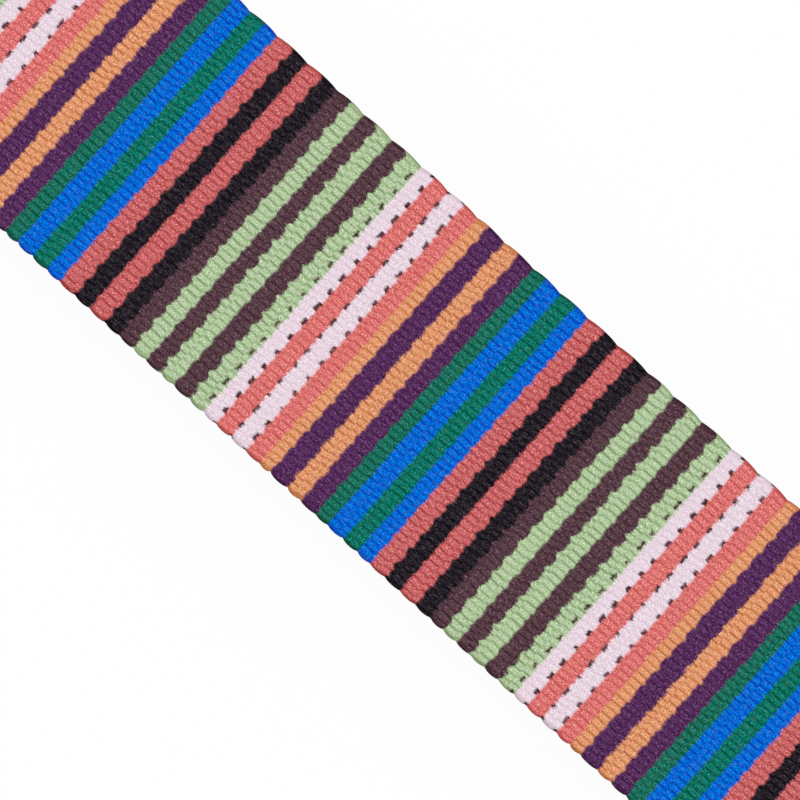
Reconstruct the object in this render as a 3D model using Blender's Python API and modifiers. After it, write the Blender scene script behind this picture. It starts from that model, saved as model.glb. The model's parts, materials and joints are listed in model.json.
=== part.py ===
"""Woven guitar strap, folded in half as for storage: webbing, leather end tabs, ring and slider.

Metres, +Z up. X runs along the strap, Y across it. The front half lies on the ground with its tab at -X,
the fold is at +X, and the rear half comes back above it with its slider, ring and tab.
"""

import math

import bmesh
import bpy
from mathutils import Matrix, Vector

# Webbing
WEBBING_WIDTH = 0.0508
WEBBING_THICKNESS = 0.0018
FRONT_RUN_LENGTH = 0.660
CLEAR_RUN_LENGTH = 0.240
ADJUSTER_RUN_LENGTH = 0.260
DOUBLED_LENGTH = 0.210
RAMP_LENGTH = 0.040
BIGHT_LEG = 0.012
LOOP_LEG = 0.032
LOOP_RAMP = 0.014
LOOP_SEAM_LENGTH = 0.010

# Leather tabs
TAB_WIDTH = 0.046
TAB_POINT_LENGTH = 0.034
FRONT_TAB_LENGTH = 0.105
FRONT_LAP = 0.045
FACE_PLY = 0.0024
BACKING_PLY = 0.0016
REAR_TAB_LENGTH = 0.120
REAR_LAP = 0.036
REAR_RAMP = 0.014
REAR_SEAM_LENGTH = 0.018
REAR_PLY = 0.0022
BUTTON_HOLE_DIAMETER = 0.0085
BUTTON_HOLE_FROM_TIP = 0.019
BUTTON_SLIT_LENGTH = 0.010
BUTTON_SLIT_WIDTH = 0.0014

# Ring and slider
RING_WIRE = 0.0040
RING_REACH = 0.017
RING_CORNER = 0.0032
SLIDER_LENGTH = 0.034
SLIDER_END_BAR = 0.0060
SLIDER_RAIL = 0.0050
SLIDER_PLATE = 0.0030
SLIDER_CORNER = 0.0040
SLIDER_EAR_LENGTH = 0.0090
SLIDER_EAR_WALL = 0.0015
CENTER_BAR = 0.0025
EDGE_ROUND = 0.0006

# Thread
THREAD = 0.0008
SEAM_INSET = 0.0040
SEAM_CORNER = 0.0020

# Clearances
LAYER_GAP = 0.0003
THREAD_GAP = 0.0001
SIDE_CLEARANCE = 0.0008
BAR_CLEARANCE = 0.0002
RUN_CLEARANCE = 0.0004

# How finely round shapes are divided
ARC_STEPS = 12
CORNER_STEPS = 4
EASE_STEPS = 8
HOLE_SIDES = 32
THREAD_SIDES = 6
RING_SIDES = 8
EDGE_SEGMENTS = 2
SHARP_EDGE_DEGREES = 50
WELD_DISTANCE = 1e-6

# Heights of the layers, from the front run on the ground up to the rear run
half_web = WEBBING_THICKNESS / 2
tail_drop = WEBBING_THICKNESS + LAYER_GAP
bar_drop = tail_drop + half_web + LAYER_GAP + CENTER_BAR / 2
leg_drop = bar_drop + CENTER_BAR / 2 + LAYER_GAP + half_web
ring_drop = half_web + LAYER_GAP + RING_WIRE / 2
return_drop = 2 * ring_drop
lowest_drop = leg_drop + half_web + THREAD_GAP + THREAD
front_z = half_web
rear_z = WEBBING_THICKNESS + RUN_CLEARANCE + lowest_drop
fold_radius = (rear_z - front_z) / 2
ring_z = rear_z - ring_drop
bar_z = rear_z - bar_drop
leg_z = rear_z - leg_drop
sewn_tail_z = leg_z + WEBBING_THICKNESS + LAYER_GAP

# Heights in the front tab: thread, face ply, webbing, backing ply, thread
face_ply_z = THREAD + THREAD_GAP
lap_z = face_ply_z + FACE_PLY + LAYER_GAP + half_web
backing_z = lap_z + half_web + LAYER_GAP
backing_top = backing_z + BACKING_PLY

# Places along the strap, with the middle of the folded length at X = 0
end_gap = LAYER_GAP / 2
overall_length = FRONT_TAB_LENGTH + FRONT_RUN_LENGTH + end_gap + fold_radius + half_web
front_tip_x = -overall_length / 2
front_edge_x = front_tip_x + FRONT_TAB_LENGTH
lap_end_x = front_edge_x - FRONT_LAP
fold_x = front_edge_x + FRONT_RUN_LENGTH
split_x = fold_x - CLEAR_RUN_LENGTH
ring_x = split_x - ADJUSTER_RUN_LENGTH
far_bar_x = ring_x - RING_REACH
slider_x = ring_x + DOUBLED_LENGTH
rear_tip_x = far_bar_x - REAR_TAB_LENGTH
inner_half_width = WEBBING_WIDTH / 2 + SIDE_CLEARANCE


def clear_scene():
    """Remove every object, so that the script builds the same model each run."""
    for item in list(bpy.data.objects):
        bpy.data.objects.remove(item, do_unlink=True)


def new_collection(name):
    """A collection linked to the scene."""
    made = bpy.data.collections.new(name)
    bpy.context.scene.collection.children.link(made)
    return made


def new_material(name, color, roughness, metallic):
    """A Principled material of one colour (linear RGB)."""
    made = bpy.data.materials.new(name)
    made.use_nodes = True
    shader = made.node_tree.nodes["Principled BSDF"]
    shader.inputs["Base Color"].default_value = (*color, 1.0)
    shader.inputs["Roughness"].default_value = roughness
    shader.inputs["Metallic"].default_value = metallic
    made.diffuse_color = (*color, 1.0)
    return made


clear_scene()
PARTS = new_collection("guitar_strap")
CUTTERS = new_collection("cutters")
WOVEN = new_material("striped_webbing", (0.30, 0.13, 0.12), 0.85, 0.0)
LEATHER = new_material("black_leather", (0.018, 0.015, 0.014), 0.55, 0.0)
NICKEL = new_material("nickel_plated_steel", (0.62, 0.61, 0.58), 0.25, 1.0)
POLYESTER = new_material("sewing_thread", (0.030, 0.026, 0.025), 0.70, 0.0)


def new_joint_empty(name, x, z):
    """An empty on a joint's axis, for the pieces that move with it."""
    made = bpy.data.objects.new(name, None)
    made.location = (x, 0.0, z)
    PARTS.objects.link(made)
    return made


def add_object(name, mesh, material, collection, carrier=None):
    """An object for a finished mesh in world coordinates, parented to its carrier in place."""
    made = bpy.data.objects.new(name, mesh)
    collection.objects.link(made)
    if material:
        mesh.materials.append(material)
    if carrier:
        made.parent = carrier
        made.matrix_parent_inverse = Matrix.Translation(carrier.location).inverted()
    return made


def mesh_from_curve(curve, turn):
    """The closed mesh of a curve, turned into place, with its caps welded on."""
    holder = bpy.data.objects.new("outline", curve)
    bpy.context.scene.collection.objects.link(holder)
    evaluated = holder.evaluated_get(bpy.context.evaluated_depsgraph_get())
    mesh = bpy.data.meshes.new_from_object(evaluated)
    bpy.data.objects.remove(holder, do_unlink=True)
    work = bmesh.new()
    work.from_mesh(mesh)
    bmesh.ops.remove_doubles(work, verts=work.verts, dist=WELD_DISTANCE)
    work.transform(turn)
    work.normal_update()
    work.to_mesh(mesh)
    work.free()
    mesh.materials.clear()
    return mesh


def flat_curve(outlines, thickness):
    """A filled 2D curve of closed outlines, a second one being a window in the first."""
    curve = bpy.data.curves.new("flat_outline", "CURVE")
    curve.dimensions = "2D"
    curve.fill_mode = "BOTH"
    curve.extrude = thickness / 2
    for outline in outlines:
        spline = curve.splines.new("POLY")
        spline.points.add(len(outline) - 1)
        for point, (x, y) in zip(spline.points, outline):
            point.co = (x, y, 0.0, 1.0)
        spline.use_cyclic_u = True
    return curve


def plate_mesh(outlines, low_z, thickness):
    """A flat plate of the given plan, from low_z up."""
    turn = Matrix.Translation((0.0, 0.0, low_z + thickness / 2))
    return mesh_from_curve(flat_curve(outlines, thickness), turn)


def strip_mesh(path, thickness, width):
    """A strip of even thickness along a path of (x, z) points, carried across the width."""
    points = [Vector(point) for point in path]
    upper = []
    lower = []
    for i, point in enumerate(points):
        before = (point - points[i - 1]).normalized() if i else None
        after = (points[i + 1] - point).normalized() if i + 1 < len(points) else None
        before = before or after
        after = after or before
        along = (before + after).normalized()
        mitre = thickness / 2 / along.dot(after)
        side = Vector((-along.y, along.x)) * mitre
        upper.append(tuple(point + side))
        lower.append(tuple(point - side))
    outline = lower + upper[::-1]
    stand_up = Matrix.Rotation(math.radians(90), 4, "X")
    return mesh_from_curve(flat_curve([outline], width), stand_up)


def loop_mesh(points, diameter, sides):
    """A round wire or thread along points, closed on itself, with an even count of sides."""
    curve = bpy.data.curves.new("wire", "CURVE")
    curve.dimensions = "3D"
    curve.bevel_depth = diameter / 2
    curve.bevel_resolution = sides // 2 - 2
    spline = curve.splines.new("POLY")
    spline.points.add(len(points) - 1)
    for point, place in zip(spline.points, points):
        point.co = (*place, 1.0)
    spline.use_cyclic_u = True
    return mesh_from_curve(curve, Matrix.Identity(4))


def arc(center, radius, start, end, steps=ARC_STEPS):
    """Points of an arc about center, from start to end in degrees."""
    angles = [math.radians(start + (end - start) * i / steps) for i in range(steps + 1)]
    return [(center[0] + radius * math.cos(a), center[1] + radius * math.sin(a)) for a in angles]


def ease(start, end, steps=EASE_STEPS):
    """Points of a smooth S between two places, level at both ends."""
    made = []
    for i in range(steps + 1):
        t = i / steps
        rise = t * t * (3 - 2 * t)
        made.append((start[0] + (end[0] - start[0]) * t, start[1] + (end[1] - start[1]) * rise))
    return made


def rounded_rectangle(low, high, radius):
    """The outline of a rectangle with round corners, anticlockwise."""
    corners = [
        (high[0] - radius, low[1] + radius, -90),
        (high[0] - radius, high[1] - radius, 0),
        (low[0] + radius, high[1] - radius, 90),
        (low[0] + radius, low[1] + radius, 180),
    ]
    outline = []
    for x, y, start in corners:
        outline += arc((x, y), radius, start, start + 90, CORNER_STEPS)
    return outline


def tab_outline(tip_x, root_x):
    """The plan of a tab: straight sides, then a half ellipse to the tip at its low X end."""
    half = TAB_WIDTH / 2
    shoulder_x = tip_x + TAB_POINT_LENGTH
    angles = [math.radians(90 + 180 * i / (2 * ARC_STEPS)) for i in range(2 * ARC_STEPS + 1)]
    point = [(shoulder_x + TAB_POINT_LENGTH * math.cos(a), half * math.sin(a)) for a in angles]
    return [(root_x, -half), (root_x, half)] + point


def add_boolean(target, name, mesh, operation):
    """Cut, join or trim a piece with a hidden solid."""
    cutter = add_object(name, mesh, None, CUTTERS)
    cutter.hide_render = True
    cutter.display_type = "WIRE"
    step = target.modifiers.new(name, "BOOLEAN")
    step.operation = operation
    step.solver = "EXACT"
    step.object = cutter


def cut_button_hole(tab, name, tip_x, low_z, thickness):
    """The strap-button hole near the tip, with its slit running towards the strap."""
    hole_x = tip_x + BUTTON_HOLE_FROM_TIP
    radius = BUTTON_HOLE_DIAMETER / 2
    half_slit = BUTTON_SLIT_WIDTH / 2
    open_angle = math.degrees(math.asin(half_slit / radius))
    slit_end_x = hole_x + radius + BUTTON_SLIT_LENGTH
    keyhole = arc((hole_x, 0.0), radius, open_angle, 360 - open_angle, HOLE_SIDES)
    keyhole += [(slit_end_x, -half_slit), (slit_end_x, half_slit)]
    margin = thickness
    mesh = plate_mesh([keyhole], low_z - margin, thickness + 2 * margin)
    add_boolean(tab, name, mesh, "DIFFERENCE")


def add_box_seam(name, low_x, high_x, half_width, needle_z, bobbin_z, carrier=None):
    """A box seam with round corners: the needle thread on one face, the bobbin thread on the other."""
    outline = rounded_rectangle((low_x, -half_width), (high_x, half_width), SEAM_CORNER)
    for thread, z in (("needle", needle_z), ("bobbin", bobbin_z)):
        mesh = loop_mesh([(x, y, z) for x, y in outline], THREAD, THREAD_SIDES)
        add_object(f"{name}_{thread}_thread", mesh, POLYESTER, PARTS, carrier)


def build_webbing(bight_carrier, slider_carrier):
    """The woven strip: front lap and run, fold, rear run, adjuster run, ring bight, return run, loop."""
    ramp_end_x = front_edge_x + RAMP_LENGTH
    lap = [(lap_end_x, lap_z)]
    lap += ease((front_edge_x, lap_z), (ramp_end_x - end_gap, front_z))
    front = [(ramp_end_x + end_gap, front_z), (fold_x - end_gap, front_z)]
    fold = arc((fold_x + end_gap, front_z + fold_radius), fold_radius, -90, 90)
    rear = [(fold_x - end_gap, rear_z), (split_x + end_gap, rear_z)]
    adjuster = [(split_x - end_gap, rear_z), (ring_x + BIGHT_LEG + end_gap, rear_z)]
    bight = [(ring_x + BIGHT_LEG - end_gap, rear_z)]
    bight += arc((ring_x, ring_z), ring_drop, 90, 270)
    bight += [(ring_x + BIGHT_LEG - end_gap, rear_z - return_drop)]
    back = ease(
        (ring_x + BIGHT_LEG + end_gap, rear_z - return_drop),
        (slider_x - LOOP_LEG - end_gap, leg_z),
    )
    loop = [(slider_x - LOOP_LEG + end_gap, leg_z)]
    loop += arc((slider_x, bar_z), bar_z - leg_z, -90, 90)
    loop += ease((slider_x, rear_z - tail_drop), (slider_x - LOOP_RAMP, sewn_tail_z))[1:]
    loop += [(slider_x - LOOP_LEG + end_gap, sewn_tail_z)]
    runs = [
        ("webbing_front_lap", lap, None),
        ("webbing_front_run", front, None),
        ("webbing_fold", fold, None),
        ("webbing_rear_run", rear, None),
        ("webbing_adjuster_run", adjuster, None),
        ("webbing_ring_bight", bight, bight_carrier),
        ("webbing_return_run", back, bight_carrier),
        ("webbing_slider_loop", loop, slider_carrier),
    ]
    for name, path, carrier in runs:
        mesh = strip_mesh(path, WEBBING_THICKNESS, WEBBING_WIDTH)
        add_object(name, mesh, WOVEN, PARTS, carrier)


def build_front_tab():
    """The front tab: a face ply with the button hole, a backing ply, and the box seam through both."""
    face_mesh = plate_mesh([tab_outline(front_tip_x, front_edge_x)], face_ply_z, FACE_PLY)
    face = add_object("front_tab_face", face_mesh, LEATHER, PARTS)
    cut_button_hole(face, "front_button_hole", front_tip_x, face_ply_z, FACE_PLY)
    half = TAB_WIDTH / 2
    patch = rounded_rectangle((lap_end_x, -half), (front_edge_x, half), SEAM_CORNER)
    add_object("front_tab_backing", plate_mesh([patch], backing_z, BACKING_PLY), LEATHER, PARTS)
    low_x = lap_end_x + SEAM_INSET
    high_x = front_edge_x - SEAM_INSET
    half_seam = half - SEAM_INSET
    top_z = backing_top + THREAD_GAP + THREAD / 2
    add_box_seam("front_tab", low_x, high_x, half_seam, THREAD / 2, top_z)


def build_ring(carrier):
    """The rectangular wire ring: one bar in the webbing's bight, the other in the rear tab."""
    half = WEBBING_WIDTH / 2 + LAYER_GAP + RING_CORNER
    outline = rounded_rectangle((far_bar_x, -half), (ring_x, half), RING_CORNER)
    wire = loop_mesh([(x, y, ring_z) for x, y in outline], RING_WIRE, RING_SIDES)
    ring = add_object("rectangular_ring", wire, NICKEL, PARTS, carrier)
    ring.data.shade_smooth()


def build_rear_tab(carrier):
    """The rear tab: one leather strip folded round the ring's far bar, with its box seam."""
    wrap = RING_WIRE / 2 + LAYER_GAP + REAR_PLY / 2
    upper_z = ring_z + wrap
    sewn_z = upper_z - REAR_PLY - LAYER_GAP
    path = [(rear_tip_x, upper_z)]
    path += arc((far_bar_x, ring_z), wrap, 90, -90)
    path += ease((far_bar_x, ring_z - wrap), (far_bar_x - REAR_RAMP, sewn_z))[1:]
    path += [(far_bar_x - REAR_LAP, sewn_z)]
    tab = add_object("rear_tab_leather", strip_mesh(path, REAR_PLY, TAB_WIDTH), LEATHER, PARTS, carrier)
    plan_root_x = far_bar_x + 2 * wrap
    low_z = ring_z - 2 * wrap
    trim = plate_mesh([tab_outline(rear_tip_x, plan_root_x)], low_z, 4 * wrap)
    add_boolean(tab, "rear_tab_plan", trim, "INTERSECT")
    cut_button_hole(tab, "rear_button_hole", rear_tip_x, upper_z - REAR_PLY / 2, REAR_PLY)
    low_x = far_bar_x - REAR_LAP + SEAM_INSET / 2
    high_x = low_x + REAR_SEAM_LENGTH
    half_seam = TAB_WIDTH / 2 - SEAM_INSET
    top_z = upper_z + REAR_PLY / 2 + THREAD_GAP + THREAD / 2
    under_z = sewn_z - REAR_PLY / 2 - THREAD_GAP - THREAD / 2
    add_box_seam("rear_tab", low_x, high_x, half_seam, top_z, under_z, carrier)


def box_mesh(low, high):
    """A plain box between two corners."""
    work = bmesh.new()
    bmesh.ops.create_cube(work, size=1.0)
    size = [b - a for a, b in zip(low, high)]
    middle = [(a + b) / 2 for a, b in zip(low, high)]
    work.transform(Matrix.Translation(middle) @ Matrix.Diagonal((*size, 1.0)))
    mesh = bpy.data.meshes.new("box")
    work.to_mesh(mesh)
    work.free()
    return mesh


def cross_bar_mesh(diameter, half_length, x, z):
    """A round bar across the strap."""
    work = bmesh.new()
    bmesh.ops.create_cone(
        work, cap_ends=True, segments=HOLE_SIDES,
        radius1=diameter / 2, radius2=diameter / 2, depth=2 * half_length,
    )
    turn = Matrix.Rotation(math.radians(90), 4, "X")
    work.transform(Matrix.Translation((x, 0.0, z)) @ turn)
    mesh = bpy.data.meshes.new("cross_bar")
    work.to_mesh(mesh)
    work.free()
    return mesh


def build_slider(carrier):
    """The slider: a plate frame over the webbing, two ears, the centre bar under it, and its seam."""
    half_length = SLIDER_LENGTH / 2
    outer_half = inner_half_width + SLIDER_RAIL
    plate_z = rear_z + half_web + LAYER_GAP
    outer = rounded_rectangle(
        (slider_x - half_length, -outer_half), (slider_x + half_length, outer_half), SLIDER_CORNER
    )
    inner_x = half_length - SLIDER_END_BAR
    window = rounded_rectangle(
        (slider_x - inner_x, -inner_half_width), (slider_x + inner_x, inner_half_width), SLIDER_CORNER / 2
    )
    frame_mesh = plate_mesh([outer, window], plate_z, SLIDER_PLATE)
    frame = add_object("slider_frame", frame_mesh, NICKEL, PARTS, carrier)
    half_ear = SLIDER_EAR_LENGTH / 2
    ear_low = bar_z - CENTER_BAR / 2 - BAR_CLEARANCE - SLIDER_EAR_WALL
    ear_top = plate_z + SLIDER_PLATE / 2
    for side, name in ((-1, "right_ear"), (1, "left_ear")):
        near = side * (outer_half - EDGE_ROUND / 2)
        far = side * inner_half_width
        low = (slider_x - half_ear, min(near, far), ear_low)
        high = (slider_x + half_ear, max(near, far), ear_top)
        add_boolean(frame, name, box_mesh(low, high), "UNION")
    bore = cross_bar_mesh(CENTER_BAR + 2 * BAR_CLEARANCE, 2 * outer_half, slider_x, bar_z)
    add_boolean(frame, "center_bar_bore", bore, "DIFFERENCE")
    rounding = frame.modifiers.new("rounded_edges", "BEVEL")
    rounding.width = EDGE_ROUND
    rounding.segments = EDGE_SEGMENTS
    rounding.limit_method = "ANGLE"
    rounding.angle_limit = math.radians(SHARP_EDGE_DEGREES)
    bar_half = outer_half - EDGE_ROUND / 2
    bar = cross_bar_mesh(CENTER_BAR, bar_half, slider_x, bar_z)
    add_object("slider_center_bar", bar, NICKEL, PARTS, carrier)
    low_x = slider_x - LOOP_LEG + SEAM_INSET / 2
    high_x = low_x + LOOP_SEAM_LENGTH
    half_seam = WEBBING_WIDTH / 2 - SEAM_INSET
    top_z = sewn_tail_z + half_web + THREAD_GAP + THREAD / 2
    under_z = leg_z - half_web - THREAD_GAP - THREAD / 2
    add_box_seam("slider_loop", low_x, high_x, half_seam, under_z, top_z, carrier)


def main():
    """Build every piece of the strap."""
    bight_carrier = new_joint_empty("length_adjust_axis", ring_x, ring_z)
    ring_carrier = new_joint_empty("ring_swing_axis", ring_x, ring_z)
    tab_carrier = new_joint_empty("tab_swing_axis", far_bar_x, ring_z)
    slider_carrier = new_joint_empty("slider_axis", slider_x, bar_z)
    build_webbing(bight_carrier, slider_carrier)
    build_front_tab()
    build_ring(ring_carrier)
    build_rear_tab(tab_carrier)
    build_slider(slider_carrier)


main()
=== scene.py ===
"""The woven guitar strap's looks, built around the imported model: webbing, leather, thread and metal."""

import json
import math

import bmesh
import bpy
import numpy as np
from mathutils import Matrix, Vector


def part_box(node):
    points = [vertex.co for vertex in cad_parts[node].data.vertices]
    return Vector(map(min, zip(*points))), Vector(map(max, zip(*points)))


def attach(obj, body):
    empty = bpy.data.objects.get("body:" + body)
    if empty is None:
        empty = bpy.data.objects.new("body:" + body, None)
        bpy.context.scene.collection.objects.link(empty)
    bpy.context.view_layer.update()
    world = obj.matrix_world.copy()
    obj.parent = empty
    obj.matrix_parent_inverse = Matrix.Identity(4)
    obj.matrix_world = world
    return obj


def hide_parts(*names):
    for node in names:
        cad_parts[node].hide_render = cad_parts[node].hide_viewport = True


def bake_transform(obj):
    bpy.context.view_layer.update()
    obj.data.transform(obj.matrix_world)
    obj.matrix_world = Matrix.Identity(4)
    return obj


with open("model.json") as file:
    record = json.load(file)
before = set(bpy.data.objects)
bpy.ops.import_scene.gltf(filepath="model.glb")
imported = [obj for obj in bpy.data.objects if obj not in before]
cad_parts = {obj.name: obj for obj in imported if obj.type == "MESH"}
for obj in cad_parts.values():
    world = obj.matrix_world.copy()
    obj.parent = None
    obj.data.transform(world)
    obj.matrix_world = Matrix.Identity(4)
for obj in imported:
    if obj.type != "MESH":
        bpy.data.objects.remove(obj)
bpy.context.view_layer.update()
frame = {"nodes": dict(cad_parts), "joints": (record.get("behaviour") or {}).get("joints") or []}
MM = 0.001

# Sizes that the frame's boxes don't give, in metres
RAMP_LENGTH = 0.040
BIGHT_LEG = 0.012
LOOP_LEG = 0.032
LOOP_RAMP = 0.014
LAYER_GAP = 0.0003
SEAM_CORNER = 0.0020
RING_CORNER = 0.0032

# The weave, in millimetres: rows of yarn cells side by side, each row shifted by a share of a cell
CELL_PITCH = 1.177
ROW_PITCH = 2.215
ROW_SHIFT = -1 / 3
GROOVE_DEPTH = 0.24
ROW_DIP = 0.05
FACE_DROP = 0.02

# Powers that shape a groove across and along and a dip, and the deepest groove as a share of its depth
GROOVE_POWER = 5
ROW_END_POWER = 0.15
ROW_DIP_POWER = 6
DEEPEST = 1.2

# How uneven the weave is: the swing of its depth, how far yarns stray sideways in mm, and the stray's slow
# waves, each as radians to a row, radians to a millimetre across and where it starts
UNEVEN_SWING = 0.6
ROW_STRAY = 0.18
COLUMN_STRAY = 0.10
STRAY_WAVES = ((0.83, 0.41, 0.0), (1.71, -0.93, 1.0))

# Selvedges: long scallops at +Y, with the share of them that lies inside the edge, notches at -Y, and how
# far in from the edge both reach, with sizes in millimetres
SCALLOP = 0.32
SCALLOP_POWER = 0.7
SCALLOP_INSIDE = 0.6
NOTCH = 0.40
NOTCH_POWER = 0.5
NOTCH_CROWN = 0.10
NOTCH_SEED = 3.0
EDGE_REACH = 4.0

# The selvedges' rounded sides: width as a share of half the thickness, and steps round the curve
RIM_SHARE = 0.8
RIM_STEPS = 6

# Painted shade that the shader is given as extra groove depth, for the dips between rows and for the
# selvedges' rounded sides
ROW_DIP_SHADE = 0.15
RIM_SHADE = 1.2
RIM_SHADE_POWER = 0.5

# Where the rings of a strip lie in each yarn row, and how near to its ends none may lie, in rows
ROW_ENDS = (0.05, 0.95)
ROW_MARGIN = 0.02

# Samples to each yarn cell across the strap, the steps left free at the sides, and a plain side's places
FINE = 6
MEDIUM = 3
PLAIN = 0
FREE_STEPS = 0.3
PLAIN_PLACES = 14

# One repeat of the cross stripes: yarn, width in mm, how far its leading edge steps at the tooth rows
# (minus is forward into the stripe before), and where a dark dash near its trailing edge starts and ends,
# both as shares of a stripe
STRIPES = [
    ("maroon", 2.80, 0.00, None),
    ("light_green", 2.49, -0.14, None),
    ("maroon", 3.25, 0.06, None),
    ("light_green", 2.54, -0.14, None),
    ("maroon", 3.30, 0.06, None),
    ("light_green", 3.06, -0.14, (0.73, 0.92)),
    ("pale_pink", 2.56, 0.00, (0.78, 0.97)),
    ("salmon", 2.93, 0.00, (0.92, 1.08)),
    ("pale_pink", 3.32, 0.00, (0.84, 0.97)),
    ("salmon", 2.81, 0.00, None),
    ("orange", 2.12, -0.04, None),
    ("purple", 3.61, 0.08, None),
    ("orange", 2.61, -0.06, None),
    ("purple", 3.41, 0.08, None),
    ("grey_green", 2.38, -0.06, None),
    ("blue", 3.07, 0.00, None),
    ("green", 3.15, 0.00, None),
    ("blue", 2.61, 0.00, None),
    ("coral", 3.10, -0.06, None),
    ("black", 3.18, -0.12, None),
    ("coral", 3.15, -0.04, None),
    ("black", 3.13, -0.12, None),
]

# How far the stripes lean, in mm along to a mm across, and how far apart the tooth rows lie, in mm
LEAN = 0.0115
TOOTH_PITCH = 3.02

# Each yarn's colour, and how deep its grooves are as a share of the deepest, which also sets how much
# painted shade they get
YARN = {
    "maroon": ("#533740", 0.64),
    "light_green": ("#b2c99d", 1.00),
    "pale_pink": ("#ecd8e3", 0.48),
    "salmon": ("#de706d", 0.65),
    "orange": ("#e3986a", 0.86),
    "purple": ("#522756", 0.54),
    "green": ("#05705e", 0.82),
    "grey_green": ("#126c58", 0.82),
    "blue": ("#0066d6", 0.92),
    "coral": ("#cb6162", 0.82),
    "black": ("#1e1820", 0.82),
}
DASH_COLOR = "#4a2c34"
# The pale colour of the painted glints on the yarn
PAINTED_GLINT_COLOR = "#e9dde2"

# Noise in the yarn: cells to a stripe along, width of a cell across in mm, detail, and its whole swing.
# Single fibres are about 0.02 mm, too fine to show, so they are drawn 0.07 to 0.3 mm wide.
EDGE_RAGGED = (0.9, 1.1, 1.0, 0.16)
EDGE_FUZZ = (40.0, 0.07, 0.0, 0.24)
TOOTH_JITTER = (0.7, 2.0, 0.0, 0.30)
DASH_VARIETY = (1.0, 2.2, 0.0, 0.36)
DYE_TINGE = (7.0, 0.30, 0.0, 0.03)
FIBRE_MOTTLE = (8.0, 0.24, 1.5, 1.0)
FIBRE_GRAIN = (17.0, 0.17, 0.0, 1.3)
PAINTED_FIBRE_GLINT = (2.8, 0.15, 1.0, 1.0)
FIBRE_HEIGHT = (6.0, 0.20, 2.0, 1.0)
NOISE_ROUGHNESS = 0.6

# How far the stripe edges stray with the yarn, in stripes, and how far the teeth fray, in tooth rows
CELL_END_ROUND = 0.035
MOTTLE_BRUSH = 0.16
MOTTLE_FRAY = 0.12

# Distances from a tooth row's middle between which a step and a dash fade out, in tooth rows
STEP_FADE = (0.06, 0.28)
DASH_FADE = (0.15, 0.22)

# How the yarn's colour is given painted light and shade: its level on the crowns, lighter than plain, its
# loss in the painted shade of the grooves, the mottle's part in it, how far the colour deepens with it, and
# how far it dims, by the yarn's paleness
CROWN_SHADE = 1.13
GROOVE_SHADE = 0.80
MOTTLE_SHADE = 1.5
SHADE_DEEPENS = 0.5
SHADE_DIMS = [(0.0, 0.0), (0.2, 0.42), (0.5, 0.42), (0.7, 0.26)]

# Levels of the glint noise between which a painted glint comes up, and the share of pale colour in a full
# painted glint
PAINTED_GLINT_RANGE = (0.11, 0.30)
PAINTED_GLINT_STRENGTH = 0.10

# Stitches: length in mm, the step ahead that gives their direction, the share of the length that shows, and
# the bead's dip, taper and division
STITCH_LENGTH = 3.2
STITCH_AHEAD = 0.02
STITCH_SHARE = 0.92
STITCH_DIP = 0.6
STITCH_DIP_POWER = 6
STITCH_TAPER = 1.9
STITCH_TAPER_POWER = 8
STITCH_THINNEST = 0.15
STITCH_FULLNESS = 0.95
STITCH_RINGS = 9
STITCH_SIDES = 8

# Leather edges, with their radius in mm, and the sides of the ring's wire
TAB_ROUND = 0.5
BACKING_ROUND = 0.4
ROUND_SEGMENTS = 3
SHARP_EDGE_DEGREES = 50
FLAT_DEGREES = 1
WELD_DISTANCE = 1e-6
WIRE_SIDES = 24

# The photograph's framing: the frame and the strap's width in pixels, its slope, its place in the frame,
# the view's shift along the strap in metres, and the lens and sensor in mm
FRAME_PIXELS = 800
WIDTH_PIXELS = 330.3
SLOPE_DEGREES = 42.28
AXIS_OFFSET_PIXELS = 22.9
FIRST_STRIPE_PIXELS = -252.6
FIRST_ROW_PIXELS = 25.5
VIEW_SHIFT = 0.002
LENS = 135.0
SENSOR = 36.0

# The stage: half the floor's side and its drop in metres, the share of plain white in it, the world's light
# from below and from above, and each lamp's place, size and power
FLOOR_HALF = 6.0
FLOOR_DROP = 0.0002
WHITE_SHARE = 0.95
SKY_LEVELS = (0.15, 0.85)
LAMPS = (
    ("key_softbox", (-0.9, 1.0, 1.3), 2.0, 18.0),
    ("fill_softbox", (1.2, -0.6, 1.4), 2.0, 7.5),
)

# Places read from the frame
rear_low, rear_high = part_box("webbing_rear_run")
lap_low, lap_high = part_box("webbing_front_lap")
loop_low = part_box("webbing_slider_loop")[0]
bar_low, bar_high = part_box("slider_center_bar")
joints = {joint["name"]: joint for joint in frame["joints"]}
thickness = rear_high.z - rear_low.z
half_web = thickness / 2
width = rear_high.y - rear_low.y
rear_z = rear_low.z + half_web
front_z = lap_low.z + half_web
lap_z = lap_high.z - half_web
split_x = rear_low.x - LAYER_GAP / 2
fold_x = rear_high.x + LAYER_GAP / 2
fold_radius = (rear_z - front_z) / 2
lap_end_x = lap_low.x
front_edge_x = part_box("front_tab_face")[1].x
ring_x, _, ring_z = joints["ring_swing"]["pos_m"]
return_z = 2 * ring_z - rear_z
slider_x = (bar_low.x + bar_high.x) / 2
bar_z = (bar_low.z + bar_high.z) / 2
leg_z = loop_low.z + half_web
tail_z = 2 * bar_z - leg_z
sewn_tail_z = leg_z + thickness + LAYER_GAP

# The camera looks straight down on the clear run, turned so that the strap slopes as in the photograph
meters_per_pixel = width / WIDTH_PIXELS
view_center_x = (split_x + fold_x) / 2 + VIEW_SHIFT
view_center_y = -AXIS_OFFSET_PIXELS * meters_per_pixel
first_stripe_mm = FIRST_STRIPE_PIXELS * meters_per_pixel / MM
first_row_mm = FIRST_ROW_PIXELS * meters_per_pixel / MM

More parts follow.
